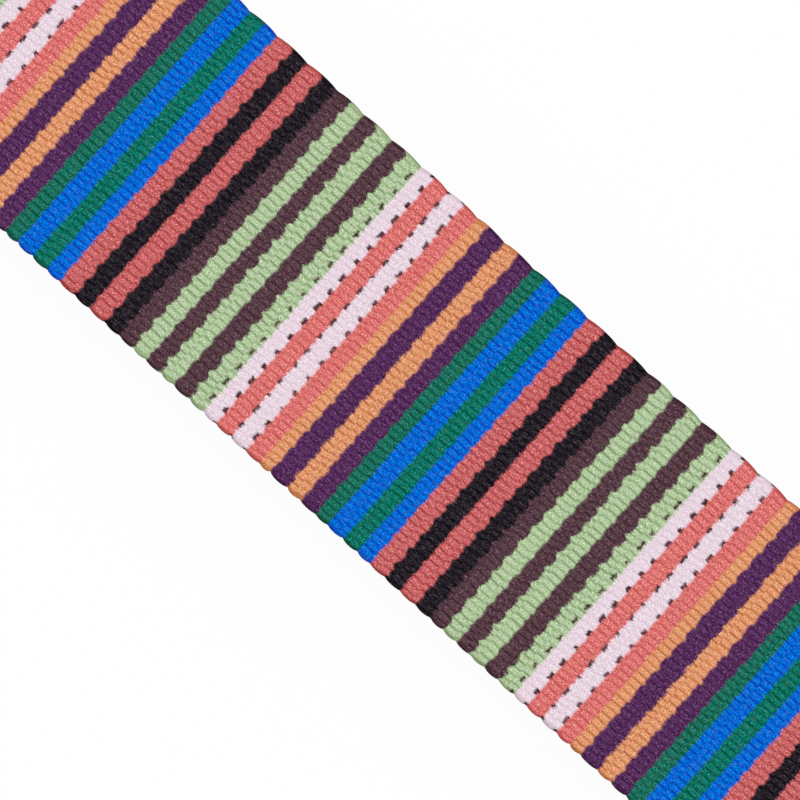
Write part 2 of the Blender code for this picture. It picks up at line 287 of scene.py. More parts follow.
# Settings of shader nodes
ADD = {"operation": "ADD"}
SUBTRACT = {"operation": "SUBTRACT"}
MULTIPLY = {"operation": "MULTIPLY"}
MULTIPLY_ADD = {"operation": "MULTIPLY_ADD"}
DIVIDE = {"operation": "DIVIDE"}
FRACTION = {"operation": "FRACT"}
ABSOLUTE = {"operation": "ABSOLUTE"}
SINE = {"operation": "SINE"}
LARGER = {"operation": "MAXIMUM"}
COLOR_MIX = {"data_type": "RGBA"}
SMOOTH_RANGE = {"interpolation_type": "SMOOTHSTEP"}


def linear(hex_color):
    """An sRGB hex colour as linear RGBA."""
    channels = [int(hex_color[i:i + 2], 16) / 255 for i in (1, 3, 5)]
    lit = [c / 12.92 if c <= 0.04045 else ((c + 0.055) / 1.055) ** 2.4 for c in channels]
    return (*lit, 1.0)


def grey(level):
    """A linear grey as RGBA."""
    return (level, level, level, 1.0)


def add_node(tree, kind, settings=None, inputs=None):
    """Add a node, set its properties, and give each input a link or a value. A node given as an input
    stands for its first output."""
    node = tree.nodes.new(kind)
    for name, value in (settings or {}).items():
        setattr(node, name, value)
    for socket, source in (inputs or {}).items():
        if isinstance(source, bpy.types.Node):
            source = source.outputs[0]
        if isinstance(source, bpy.types.NodeSocket):
            tree.links.new(source, node.inputs[socket])
        else:
            node.inputs[socket].default_value = source
    return node


def new_material(name, shader_kind="ShaderNodeBsdfPrincipled"):
    """A node material with only its output and its shader."""
    material = bpy.data.materials.new(name)
    material.use_nodes = True
    tree = material.node_tree
    tree.nodes.clear()
    shader = add_node(tree, shader_kind)
    add_node(tree, "ShaderNodeOutputMaterial", inputs={"Surface": shader})
    return material, tree, shader


def set_ramp(node, stops, interpolation="CONSTANT"):
    """Fill a colour ramp from (position, colour) pairs, with hard steps unless told otherwise."""
    ramp = node.color_ramp
    ramp.interpolation = interpolation
    while len(ramp.elements) > 1:
        ramp.elements.remove(ramp.elements[-1])
    ramp.elements[0].position = 0.0
    ramp.elements[0].color = stops[0][1]
    for position, color in stops[1:]:
        ramp.elements.new(position).color = color


def color_stops():
    """Ramp stops of one repeat: each stripe's yarn colour."""
    return [(i / len(STRIPES), linear(YARN[stripe[0]][0])) for i, stripe in enumerate(STRIPES)]


def step_stops():
    """Ramp stops of each stripe edge's step at the tooth rows, as a grey about one half."""
    stops = [(0.0, grey(0.5))]
    for i, (_, _, step, _) in enumerate(STRIPES[1:], 1):
        stops.append(((i - 0.5) / len(STRIPES), grey(0.5 + step)))
    return stops


def dash_stops():
    """Ramp stops that are white where the dark dashes lie and black elsewhere."""
    stops = [(0.0, grey(0.0))]
    for i, (_, _, _, dash) in enumerate(STRIPES):
        if dash:
            stops.append(((i + dash[0]) / len(STRIPES), grey(1.0)))
            stops.append(((i + dash[1]) / len(STRIPES), grey(0.0)))
    return stops


def jacquard_webbing():
    """Polyester jacquard webbing: matt coloured yarn in stripes with ragged, toothed edges, with painted
    shade that makes it darker and deeper in colour in the grooves between yarn cells, and painted pale
    glints. It reads the weave attribute: x in stripes along, y in mm across, z groove depth, with extra
    depth on the selvedges' rounded sides, which sets the painted shade."""
    material, tree, shader = new_material("jacquard_polyester_webbing")
    weave = add_node(tree, "ShaderNodeAttribute", {"attribute_name": "weave"})
    parts = add_node(tree, "ShaderNodeSeparateXYZ", inputs={"Vector": weave.outputs["Vector"]})
    stripe, across, depth = parts.outputs

    def yarn_noise(cells, cell_width, detail, swing):
        """Noise about zero that follows the yarn, from one of the patterns above."""
        along_place = add_node(tree, "ShaderNodeMath", MULTIPLY, {0: stripe, 1: cells})
        across_place = add_node(tree, "ShaderNodeMath", MULTIPLY, {0: across, 1: 1 / cell_width})
        place = add_node(tree, "ShaderNodeCombineXYZ", inputs={"X": along_place, "Y": across_place})
        noise = add_node(
            tree, "ShaderNodeTexNoise", {"noise_dimensions": "2D"},
            {"Vector": place, "Scale": 1.0, "Detail": detail, "Roughness": NOISE_ROUGHNESS},
        )
        noise_level = noise.outputs["Fac"]
        return add_node(tree, "ShaderNodeMath", MULTIPLY_ADD, {0: noise_level, 1: swing, 2: -swing / 2})

    # Stripe edges stray: slow raggedness, round cell ends, brushed fibres and a fine fuzz
    mottle = yarn_noise(*FIBRE_MOTTLE)
    cell_turn = add_node(tree, "ShaderNodeMath", MULTIPLY, {0: across, 1: math.pi / CELL_PITCH})
    cell_wave = add_node(tree, "ShaderNodeMath", SINE, {0: cell_turn})
    cell_end = add_node(tree, "ShaderNodeMath", ABSOLUTE, {0: cell_wave})
    ragged = yarn_noise(*EDGE_RAGGED)
    rounded = add_node(tree, "ShaderNodeMath", MULTIPLY_ADD, {0: cell_end, 1: CELL_END_ROUND, 2: ragged})
    brushed = add_node(tree, "ShaderNodeMath", MULTIPLY_ADD, {0: mottle, 1: MOTTLE_BRUSH, 2: rounded})
    stray = add_node(tree, "ShaderNodeMath", ADD, {0: brushed, 1: yarn_noise(*EDGE_FUZZ)})
    wavy = add_node(tree, "ShaderNodeMath", ADD, {0: stripe, 1: stray})

    # Distance from the middle of the nearest tooth row
    tooth_jitter = yarn_noise(*TOOTH_JITTER)
    tooth = add_node(
        tree, "ShaderNodeMath", MULTIPLY_ADD, {0: across, 1: 1 / TOOTH_PITCH, 2: tooth_jitter},
    )
    tooth_row = add_node(tree, "ShaderNodeMath", FRACTION, {0: tooth})
    tooth_side = add_node(tree, "ShaderNodeMath", SUBTRACT, {0: tooth_row, 1: 0.5})
    tooth_distance = add_node(tree, "ShaderNodeMath", ABSOLUTE, {0: tooth_side})
    off_tooth = add_node(
        tree, "ShaderNodeMath", MULTIPLY_ADD, {0: mottle, 1: MOTTLE_FRAY, 2: tooth_distance},
    )

    # Yarn colours, with each stripe's edge stepped at the tooth rows
    repeat = float(len(STRIPES))
    wavy_share = add_node(tree, "ShaderNodeMath", DIVIDE, {0: wavy, 1: repeat})
    here = add_node(tree, "ShaderNodeMath", FRACTION, {0: wavy_share})
    steps = add_node(tree, "ShaderNodeValToRGB", inputs={"Fac": here})
    set_ramp(steps, step_stops())
    step_point = add_node(tree, "ShaderNodeMapRange", SMOOTH_RANGE, {
        "Value": off_tooth, "From Min": STEP_FADE[0], "From Max": STEP_FADE[1],
        "To Min": 1.0, "To Max": 0.0,
    })
    step_size = add_node(tree, "ShaderNodeMath", SUBTRACT, {0: steps, 1: 0.5})
    step = add_node(tree, "ShaderNodeMath", MULTIPLY, {0: step_size, 1: step_point})
    stepped = add_node(tree, "ShaderNodeMath", SUBTRACT, {0: wavy, 1: step})
    stepped_share = add_node(tree, "ShaderNodeMath", DIVIDE, {0: stepped, 1: repeat})
    stepped_here = add_node(tree, "ShaderNodeMath", FRACTION, {0: stepped_share})
    colors = add_node(tree, "ShaderNodeValToRGB", inputs={"Fac": stepped_here})
    set_ramp(colors, color_stops())

    # Dark dashes in the tooth rows, each of its own size
    dashes = add_node(tree, "ShaderNodeValToRGB", inputs={"Fac": here})
    set_ramp(dashes, dash_stops())
    dash_place = add_node(tree, "ShaderNodeMath", ADD, {0: off_tooth, 1: yarn_noise(*DASH_VARIETY)})
    dash_point = add_node(tree, "ShaderNodeMapRange", SMOOTH_RANGE, {
        "Value": dash_place, "From Min": DASH_FADE[0], "From Max": DASH_FADE[1],
        "To Min": 1.0, "To Max": 0.0,
    })
    dashed = add_node(tree, "ShaderNodeMath", MULTIPLY, {0: dashes, 1: dash_point})
    striped = add_node(
        tree, "ShaderNodeMix", COLOR_MIX, {"Factor": dashed, "A": colors, "B": linear(DASH_COLOR)},
    ).outputs["Result"]

    # Painted shade from the grooves, with the fibres' random tone: it deepens the colour, and dims it by
    # the yarn's paleness
    hue = add_node(tree, "ShaderNodeMath", ADD, {0: yarn_noise(*DYE_TINGE), 1: 0.5})
    dyed = add_node(tree, "ShaderNodeHueSaturation", inputs={"Color": striped, "Hue": hue})
    painted_groove_shade = add_node(tree, "ShaderNodeMath", MULTIPLY_ADD, {0: depth, 1: -GROOVE_SHADE, 2: CROWN_SHADE})
    grain = add_node(tree, "ShaderNodeMath", ADD, {0: yarn_noise(*FIBRE_GRAIN), 1: 1.0})
    mottled = add_node(tree, "ShaderNodeMath", MULTIPLY_ADD, {0: mottle, 1: MOTTLE_SHADE, 2: 1.0})
    fibre = add_node(tree, "ShaderNodeMath", MULTIPLY, {0: grain, 1: mottled})
    shade = add_node(tree, "ShaderNodeMath", MULTIPLY, {0: painted_groove_shade, 1: fibre})
    deepening = add_node(
        tree, "ShaderNodeMath", MULTIPLY_ADD, {0: shade, 1: -SHADE_DEEPENS, 2: 1 + SHADE_DEEPENS},
    )
    deepened = add_node(tree, "ShaderNodeGamma", inputs={"Color": dyed, "Gamma": deepening})
    paleness = add_node(tree, "ShaderNodeRGBToBW", inputs={"Color": striped})
    dim_share = add_node(tree, "ShaderNodeValToRGB", inputs={"Fac": paleness})
    set_ramp(dim_share, [(place, grey(share)) for place, share in SHADE_DIMS], "LINEAR")
    lost = add_node(tree, "ShaderNodeMath", SUBTRACT, {0: shade, 1: 1.0})
    dimming = add_node(tree, "ShaderNodeMath", MULTIPLY_ADD, {0: lost, 1: dim_share, 2: 1.0})
    shaded = add_node(
        tree, "ShaderNodeMix", {**COLOR_MIX, "blend_type": "MULTIPLY"},
        {"Factor": 1.0, "A": deepened, "B": dimming},
    ).outputs["Result"]

    # Painted glints: pale colour mixed in where fibres would catch the light, and fibres as a fine bump
    painted_glint = add_node(tree, "ShaderNodeMapRange", inputs={
        "Value": yarn_noise(*PAINTED_FIBRE_GLINT), "From Min": PAINTED_GLINT_RANGE[0], "From Max": PAINTED_GLINT_RANGE[1],
        "To Min": 0.0, "To Max": PAINTED_GLINT_STRENGTH,
    })
    lit = add_node(
        tree, "ShaderNodeMix", COLOR_MIX, {"Factor": painted_glint, "A": shaded, "B": linear(PAINTED_GLINT_COLOR)},
    ).outputs["Result"]
    bump = add_node(tree, "ShaderNodeBump", inputs={
        "Height": yarn_noise(*FIBRE_HEIGHT), "Strength": 0.5, "Distance": 0.15 * MM,
    })
    tree.links.new(lit, shader.inputs["Base Color"])
    tree.links.new(bump.outputs["Normal"], shader.inputs["Normal"])
    shader.inputs["Roughness"].default_value = 0.85
    shader.inputs["Specular IOR Level"].default_value = 0.03
    return material


def black_leather():
    """Smooth finished cowhide, dyed black: fine pebble grain, faint sheen, a little colour variation."""
    material, tree, shader = new_material("black_cowhide_leather")
    place = add_node(tree, "ShaderNodeTexCoord").outputs["Object"]
    grain = add_node(
        tree, "ShaderNodeTexVoronoi", {"feature": "SMOOTH_F1"},
        {"Vector": place, "Scale": 1 / (0.9 * MM), "Smoothness": 0.6},
    )
    cloud = add_node(
        tree, "ShaderNodeTexNoise", inputs={"Vector": place, "Scale": 1 / (14 * MM), "Detail": 4.0},
    ).outputs["Fac"]
    tint = add_node(tree, "ShaderNodeMix", COLOR_MIX, {
        "Factor": cloud, "A": linear("#1d1918"), "B": linear("#2f2926"),
    })
    bump = add_node(tree, "ShaderNodeBump", inputs={
        "Height": grain.outputs["Distance"], "Strength": 0.5, "Distance": 0.15 * MM,
    })
    rough = add_node(tree, "ShaderNodeMapRange", inputs={"Value": cloud, "To Min": 0.42, "To Max": 0.62})
    tree.links.new(tint.outputs["Result"], shader.inputs["Base Color"])
    tree.links.new(bump.outputs["Normal"], shader.inputs["Normal"])
    tree.links.new(rough.outputs["Result"], shader.inputs["Roughness"])
    return material


def nickel_plate():
    """Nickel plated steel: warm grey metal with faint polishing lines along the strap. Real lines are too
    fine to show, so they are drawn 0.3 mm wide."""
    material, tree, shader = new_material("nickel_plated_steel")
    place = add_node(tree, "ShaderNodeTexCoord").outputs["Object"]
    line_scale = (1 / (6 * MM), 1 / (0.3 * MM), 1 / (0.3 * MM))
    stretch = add_node(tree, "ShaderNodeMapping", inputs={"Vector": place, "Scale": line_scale})
    lines = add_node(tree, "ShaderNodeTexNoise", inputs={"Vector": stretch, "Scale": 1.0, "Detail": 3.0})
    rough = add_node(
        tree, "ShaderNodeMapRange", inputs={"Value": lines.outputs["Fac"], "To Min": 0.20, "To Max": 0.36},
    )
    tree.links.new(rough.outputs["Result"], shader.inputs["Roughness"])
    shader.inputs["Base Color"].default_value = linear("#aaa69d")
    shader.inputs["Metallic"].default_value = 1.0
    return material


def polyester_thread():
    """Bonded polyester sewing thread: dark, with painted light and shade of its twist as fine slanting
    light and dark bands.
    """
    material, tree, shader = new_material("bonded_polyester_thread")
    place = add_node(tree, "ShaderNodeTexCoord").outputs["Object"]
    # Painted light and shade: the twist's ridges are lighter and darker bands of colour, not relief
    twist = add_node(
        tree, "ShaderNodeTexWave", {"bands_direction": "DIAGONAL"},
        {"Vector": place, "Scale": 1 / (2.2 * MM), "Distortion": 0.5},
    )
    tint = add_node(tree, "ShaderNodeMix", COLOR_MIX, {
        "Factor": twist.outputs["Fac"], "A": linear("#2b2624"), "B": linear("#6b635d"),
    })
    tree.links.new(tint.outputs["Result"], shader.inputs["Base Color"])
    shader.inputs["Roughness"].default_value = 0.6
    return material


WEBBING = jacquard_webbing()
LEATHER = black_leather()
NICKEL = nickel_plate()
THREAD = polyester_thread()


def mesh_object(name, points, faces, material):
    """A smooth-shaded mesh object at the origin."""
    mesh = bpy.data.meshes.new(name)
    mesh.from_pydata(points.tolist(), [], [tuple(face) for face in faces.tolist()])
    mesh.update()
    mesh.materials.append(material)
    mesh.shade_smooth()
    made = bpy.data.objects.new(name, mesh)
    bpy.context.scene.collection.objects.link(made)
    return made


def ring_faces(index):
    """Quads between each ring of vertex numbers and the next, closed round the rings."""
    beside = np.roll(index, -1, axis=-1)
    corners = [index[..., :-1, :], beside[..., :-1, :], beside[..., 1:, :], index[..., 1:, :]]
    return np.stack(corners, axis=-1).reshape(-1, 4)


def face_outward(made, open_rings=()):
    """Close each open ring of vertices with one face and turn all the faces outward."""
    work = bmesh.new()
    work.from_mesh(made.data)
    work.verts.ensure_lookup_table()
    for ring in open_rings:
        work.faces.new([work.verts[i] for i in ring])
    bmesh.ops.recalc_face_normals(work, faces=work.faces)
    work.to_mesh(made.data)
    work.free()


def lengths_along(line):
    """The length of a line of points from its start to each of them."""
    return np.concatenate([[0.0], np.cumsum(np.linalg.norm(np.diff(line, axis=0), axis=1))])


def straight(start, end, step=0.0005):
    """Points of a straight run in (x, z), evenly spaced."""
    count = max(2, int(math.dist(start, end) / step) + 1)
    t = np.linspace(0.0, 1.0, count)[:, None]
    return np.array(start) + t * (np.array(end) - np.array(start))


def eased(start, end, count=60):
    """Points of a smooth S in (x, z), level at both ends: the rise is three times the square of the share
    along, less twice its cube."""
    t = np.linspace(0.0, 1.0, count)
    rise = t * t * (3 - 2 * t)
    return np.stack([start[0] + (end[0] - start[0]) * t, start[1] + (end[1] - start[1]) * rise], axis=1)


def arc(center, radius, start, end, count=60):
    """Points of an arc about center, angles in degrees."""
    a = np.radians(np.linspace(start, end, count))
    return np.stack([center[0] + radius * np.cos(a), center[1] + radius * np.sin(a)], axis=1)


def strap_path():
    """The webbing's centreline in (x, z) from the front tab to its sewn end, the length at each point, and
    the length at the end of each named leg."""
    legs = [
        ("front", straight((lap_end_x, lap_z), (front_edge_x, lap_z))),
        ("ramp", eased((front_edge_x, lap_z), (front_edge_x + RAMP_LENGTH, front_z))),
        ("floor", straight((front_edge_x + RAMP_LENGTH, front_z), (fold_x, front_z))),
        ("fold", arc((fold_x, front_z + fold_radius), fold_radius, -90, 90)),
        ("rear", straight((fold_x, rear_z), (split_x, rear_z))),
        ("adjuster", straight((split_x, rear_z), (ring_x + BIGHT_LEG, rear_z))),
        ("bight_in", straight((ring_x + BIGHT_LEG, rear_z), (ring_x, rear_z))),
        ("bight", arc((ring_x, ring_z), rear_z - ring_z, 90, 270)),
        ("bight_out", straight((ring_x, return_z), (ring_x + BIGHT_LEG, return_z))),
        ("return", eased((ring_x + BIGHT_LEG, return_z), (slider_x - LOOP_LEG, leg_z), 200)),
        ("loop_in", straight((slider_x - LOOP_LEG, leg_z), (slider_x, leg_z))),
        ("loop", arc((slider_x, bar_z), bar_z - leg_z, -90, 90)),
        ("tail", eased((slider_x, tail_z), (slider_x - LOOP_RAMP, sewn_tail_z))),
        ("sewn", straight((slider_x - LOOP_RAMP, sewn_tail_z), (slider_x - LOOP_LEG, sewn_tail_z))),
    ]
    points = [legs[0][1][:1]]
    marks = {}
    for name, leg in legs:
        points.append(leg[1:])
        marks[name] = sum(len(p) for p in points) - 1
    line = np.concatenate(points)
    lengths = lengths_along(line)
    return line, lengths, {name: lengths[i] for name, i in marks.items()}


PATH, PATH_LENGTH, END_OF = strap_path()
tangent = np.gradient(PATH, PATH_LENGTH, axis=0)
tangent /= np.linalg.norm(tangent, axis=1)[:, None]
PATH_NORMAL = np.stack([tangent[:, 1], -tangent[:, 0]], axis=1)

# Length along the path at the middle of the view, where the stripe pattern is set out from
view_length = END_OF["fold"] + (fold_x - view_center_x)
STRIPE_STARTS = np.concatenate([[0.0], np.cumsum([stripe[1] for stripe in STRIPES])])
REPEAT = STRIPE_STARTS[-1]


def stripe_position(length):
    """How many stripes lie before a place on the path; it falls as the path runs to the sewn end."""
    along = (view_length - length) / MM - first_stripe_mm
    turns = np.floor(along / REPEAT)
    inside = np.interp(along - turns * REPEAT, STRIPE_STARTS, np.arange(len(STRIPES) + 1))
    return turns * len(STRIPES) + inside


def row_position(length):
    """How many yarn rows lie before a place on the path; it falls as the path runs to the sewn end."""
    return ((view_length - length) / MM - first_row_mm) / ROW_PITCH


def length_at(row):
    """The place on the path of a row position, the inverse of row_position."""
    return view_length - (row * ROW_PITCH + first_row_mm) * MM


def cell_noise(a, b):
    """A steady pseudo-random number from 0 to 1 for each pair of whole numbers: the fraction left of a
    sine of both that is made very large."""
    mixed = np.sin(a * 12.9898 + b * 78.233) * 43758.5453
    return mixed - np.floor(mixed)


def uneven(a, b):
    """A steady pseudo-random factor about one for each pair of whole numbers."""
    return 1 + UNEVEN_SWING * (cell_noise(a, b) - 0.5)


def yarn_relief(row, across):
    """Groove depth at a row position and a place across in mm, and the dip between rows. The groove is a
    high power of the nearness to the line between two yarn cells, fading at the row's ends, with each row
    shifted by a third of a cell as in a twill. The dip is a high power of the distance from the row's
    middle."""
    number = np.floor(row)
    along = row - number
    place = across / CELL_PITCH + ROW_SHIFT * number
    line = np.round(place)
    nearness = 1 - np.abs(place - line) * 2
    window = np.sin(np.pi * along) ** ROW_END_POWER
    groove = nearness ** GROOVE_POWER * window * uneven(number, line)
    return np.clip(groove, 0.0, DEEPEST), (2 * along - 1) ** ROW_DIP_POWER


def firmness(stripe):
    """How deep the grooves are at a stripe position: a step for each stripe's yarn."""
    shares = np.array([YARN[yarn][1] for yarn, _, _, _ in STRIPES])
    return shares[np.floor(stripe).astype(int) % len(STRIPES)]


def yarn_stray(row, across):
    """How far yarns stray sideways in mm: a random step for each row, and slow waves along and across."""
    step = cell_noise(np.floor(row), 0.0) - 0.5
    waves = sum(np.sin(a * row + b * across + start) for a, b, start in STRAY_WAVES)
    return ROW_STRAY * step + COLUMN_STRAY / len(STRAY_WAVES) * waves


def upper_scallop(stripe):
    """How far the +Y selvedge bulges, in metres: a power of a sine over two stripes."""
    return (np.abs(np.sin(np.pi * stripe / 2)) ** SCALLOP_POWER - SCALLOP_INSIDE) * SCALLOP * MM


def lower_notch(stripe):
    """How far the -Y selvedge bulges, in metres: uneven notches between stripes, from a power of a sine."""
    notch = 1 - np.abs(np.sin(np.pi * stripe)) ** NOTCH_POWER
    return (NOTCH_CROWN - NOTCH * notch * uneven(np.floor(stripe), NOTCH_SEED)) * MM


def across_places(limit, samples):
    """Places across the strap from -limit to limit: so many to each yarn cell, or a plain few if zero."""
    if not samples:
        return np.linspace(-limit, limit, PLAIN_PLACES)
    step = CELL_PITCH * MM / samples
    count = int(limit / step - FREE_STEPS)
    return np.concatenate([[-limit], np.arange(-count, count + 1) * step, [limit]])


def strip_section(face_samples, back_samples):
    """A loop of points round the webbing's section: place across in metres, and level from 1 on the face
    to -1 on the back. Two flat sides are joined by half an ellipse at each selvedge."""
    rim = half_web * RIM_SHARE
    side = width / 2 - rim
    face = across_places(side, face_samples)
    back = across_places(side, back_samples)[::-1]
    turn = np.radians(np.linspace(90, -90, RIM_STEPS + 1))[1:-1]
    edge = side + rim * np.cos(turn)
    across = np.concatenate([face, edge, back, -edge])
    level = np.concatenate([np.ones(len(face)), np.sin(turn), -np.ones(len(back)), -np.sin(turn)])
    return across, level


def row_places(start, end, samples):
    """Row positions of a strip's rings: so many to each yarn row, and one at each end of the strip."""
    first, last = row_position(end), row_position(start)
    rows = np.arange(math.floor(first), math.ceil(last))[:, None] + np.linspace(*ROW_ENDS, samples)
    rows = rows[(rows > first + ROW_MARGIN) & (rows < last - ROW_MARGIN)]
    return np.concatenate([[first], rows, [last]])


def webbing_strip(name, start, end, row_samples, face_samples, back_samples):
    """A closed strip along the path from start to end: a loop of points round the section, carried along
    the yarn rows. Its height is half the thickness less the yarn grooves, and its edges are scalloped."""
    row = row_places(start, end, row_samples)[:, None]
    across, level = (part[None, :] for part in strip_section(face_samples, back_samples))
    stripe = stripe_position(length_at(row))
    groove, row_dip = yarn_relief(row, across / MM)
    groove = groove * firmness(stripe)
    drop = (GROOVE_DEPTH * groove + ROW_DIP * row_dip + FACE_DROP) * MM
    height = level * (half_web - drop)
    reach = EDGE_REACH * MM
    near_edge = np.clip((np.abs(across) - width / 2 + reach) / reach, 0, 1) ** 2
    bulge = np.where(across > 0, upper_scallop(stripe), -lower_notch(stripe))
    y = across + near_edge * bulge + (1 - near_edge) * yarn_stray(row, across / MM) * MM
    place = length_at(row) + LEAN * across
    center_x = np.interp(place, PATH_LENGTH, PATH[:, 0])
    center_z = np.interp(place, PATH_LENGTH, PATH[:, 1])
    normal_x = np.interp(place, PATH_LENGTH, PATH_NORMAL[:, 0])
    normal_z = np.interp(place, PATH_LENGTH, PATH_NORMAL[:, 1])
    points = np.stack([center_x + normal_x * height, y, center_z + normal_z * height], axis=2)
    index = np.arange(y.size).reshape(y.shape)
    made = mesh_object(name, points.reshape(-1, 3), ring_faces(index), WEBBING)
    # Painted shade: the depth given to the shader is the groove, with extra depth for the dips between rows
    # and for the selvedges' rounded sides, so that they render darker
    rim_shade = RIM_SHADE * np.clip(1 - np.abs(level), 0, 1) ** RIM_SHADE_POWER
    depth = np.clip(groove + ROW_DIP_SHADE * row_dip + rim_shade, 0, DEEPEST)
    weave = np.stack([stripe + 0 * across, across / MM + 0 * row, depth], axis=2).astype(np.float32)
    attribute = made.data.attributes.new("weave", "FLOAT_VECTOR", "POINT")
    attribute.data.foreach_set("vector", weave.reshape(-1))
    face_outward(made, (index[0], index[-1]))
    return made


def build_webbing():
    """The one woven strip, in pieces that meet end to end where the bodies change."""
    stations = {
        **END_OF,
        "start": 0.0,
        "mid_front": (END_OF["ramp"] + END_OF["floor"]) / 2,
        "mid_rear": (END_OF["fold"] + END_OF["rear"]) / 2,
    }

    # Name, first and last station, samples to a row and to a cell on face and back, body and CAD node
    pieces = [
        ("webbing_sewn_lap", "start", "ramp", 3, PLAIN, MEDIUM, "strap", "webbing_front_lap"),
        ("webbing_front_near_tab", "ramp", "mid_front", 3, PLAIN, MEDIUM, "strap", "webbing_front_run"),
        ("webbing_front_near_fold", "mid_front", "floor", 3, PLAIN, MEDIUM, "strap", None),
        ("webbing_fold_turn", "floor", "fold", 9, FINE, PLAIN, "strap", "webbing_fold"),
        ("webbing_rear_near_fold", "fold", "mid_rear", 6, FINE, PLAIN, "strap", "webbing_rear_run"),
        ("webbing_rear_near_slider", "mid_rear", "rear", 6, FINE, PLAIN, "strap", None),
        ("webbing_adjuster", "rear", "adjuster", 5, MEDIUM, PLAIN, None, "webbing_adjuster_run"),
        ("webbing_bight", "adjuster", "bight_out", 9, FINE, PLAIN, "ring_bight", "webbing_ring_bight"),
        ("webbing_return", "bight_out", "return", 3, MEDIUM, MEDIUM, None, "webbing_return_run"),
        ("webbing_loop", "return", "sewn", 6, MEDIUM, PLAIN, "slider", "webbing_slider_loop"),
    ]
    made = {}
    for name, first, last, rows, face, back, body, node in pieces:
        start, end = stations[first], stations[last]
        piece = webbing_strip(name, start, end, rows, face, back)
        if node:
            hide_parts(node)
        if body:
            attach(piece, body)
        made[name] = piece
    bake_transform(made["webbing_adjuster"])
    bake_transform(made["webbing_return"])


def stand_for(made, node, body):
    """Put a finished piece in the place of its CAD node, on its body: hide the node and attach the piece.
    """
    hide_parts(node)
    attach(made, body)


def rounded_leather(name, node, body, radius):
    """A merged copy of a leather solid with its edges rounded over."""
    mesh = frame["nodes"][node].data.copy()
    mesh.name = name
    work = bmesh.new()
    work.from_mesh(mesh)
    bmesh.ops.remove_doubles(work, verts=work.verts, dist=WELD_DISTANCE)
    flat = math.radians(FLAT_DEGREES)
    bmesh.ops.dissolve_limit(work, angle_limit=flat, verts=work.verts, edges=work.edges)
    work.to_mesh(mesh)
    work.free()
    mesh.materials.clear()
    mesh.materials.append(LEATHER)
    mesh.shade_smooth()
    made = bpy.data.objects.new(name, mesh)
    bpy.context.scene.collection.objects.link(made)
    rounding = made.modifiers.new("rounded_edge", "BEVEL")
    rounding.width = radius
    rounding.segments = ROUND_SEGMENTS
    rounding.limit_method = "ANGLE"
    rounding.angle_limit = math.radians(SHARP_EDGE_DEGREES)
    rounding.harden_normals = True
    stand_for(made, node, body)


def rounded_loop(node, corner, per_corner=12):
    """The centreline of a round wire or seam laid in a rectangle with round corners: its points in (x, y),
    once round, its middle height and its radius, all from the CAD node's box."""
    low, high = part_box(node)
    radius = (high.z - low.z) / 2
    x0, x1 = low.x + radius + corner, high.x - radius - corner
    y0, y1 = low.y + radius + corner, high.y - radius - corner
    corners = [((x1, y0), -90), ((x1, y1), 0), ((x0, y1), 90), ((x0, y0), 180)]
    arcs = [arc(center, corner, start, start + 90, per_corner) for center, start in corners]
    line = np.concatenate(arcs)
    return np.concatenate([line, line[:1]]), (low.z + high.z) / 2, radius


def round_turn(sides):
    """The angles of so many points round a circle, in radians."""
    return np.radians(np.arange(sides) * 360 / sides)


def wire_ring(name, node, body):
    """The rectangular ring as round wire: a circle carried round a rectangle with round corners."""
    line, middle, radius = rounded_loop(node, RING_CORNER)
    line = line[:-1]
    along = np.roll(line, -1, axis=0) - np.roll(line, 1, axis=0)
    side = np.stack([-along[:, 1], along[:, 0]], axis=1) / np.linalg.norm(along, axis=1)[:, None]
    turn = round_turn(WIRE_SIDES)
    out = radius * np.cos(turn)
    points = np.stack([
        line[:, :1] + side[:, :1] * out,
        line[:, 1:] + side[:, 1:] * out,
        middle + radius * np.sin(turn) + 0 * line[:, :1],
    ], axis=2)
    index = np.arange(len(line) * WIRE_SIDES).reshape(-1, WIRE_SIDES)
    faces = ring_faces(np.concatenate([index, index[:1]]))
    made = mesh_object(name, points.reshape(-1, 3), faces, NICKEL)
    face_outward(made)
    stand_for(made, node, body)


def stitches(name, node, body, up):
    """The seam as separate stitches: each a round bead that dips into its needle holes at both ends. The
    dip and the taper are high powers of the distance from the stitch's middle. The side that it shows on
    is up for 1 and down for -1."""
    line, middle, bead = rounded_loop(node, SEAM_CORNER)
    length = lengths_along(line)
    count = round(length[-1] / (STITCH_LENGTH * MM))
    along = np.linspace(-STITCH_SHARE / 2, STITCH_SHARE / 2, STITCH_RINGS)
    place = (np.arange(count)[:, None] + 0.5 + along[None, :]) * length[-1] / count
    place = np.mod(place, length[-1])
    x = np.interp(place, length, line[:, 0])
    y = np.interp(place, length, line[:, 1])
    ahead = np.mod(place + STITCH_AHEAD * MM, length[-1])
    dx = np.interp(ahead, length, line[:, 0]) - x
    dy = np.interp(ahead, length, line[:, 1]) - y
    size = np.hypot(dx, dy)
    side_x, side_y = -dy / size, dx / size
    dip = (2 * along) ** STITCH_DIP_POWER * up * -STITCH_DIP * bead
    taper = np.clip(1 - (STITCH_TAPER * along) ** STITCH_TAPER_POWER, STITCH_THINNEST, 1)
    swell = np.sqrt(taper) * bead * STITCH_FULLNESS
    turn = round_turn(STITCH_SIDES)
    ring_side = swell[None, :, None] * np.cos(turn)[None, None, :]
    ring_up = swell[None, :, None] * np.sin(turn)[None, None, :]
    points = np.stack([
        x[:, :, None] + side_x[:, :, None] * ring_side,
        y[:, :, None] + side_y[:, :, None] * ring_side,
        middle + dip[None, :, None] + ring_up + 0 * x[:, :, None],
    ], axis=3)
    index = np.arange(count * STITCH_RINGS * STITCH_SIDES).reshape(count, STITCH_RINGS, STITCH_SIDES)
    made = mesh_object(name, points.reshape(-1, 3), ring_faces(index), THREAD)
    face_outward(made, [*index[:, 0], *index[:, -1]])
    stand_for(made, node, body)


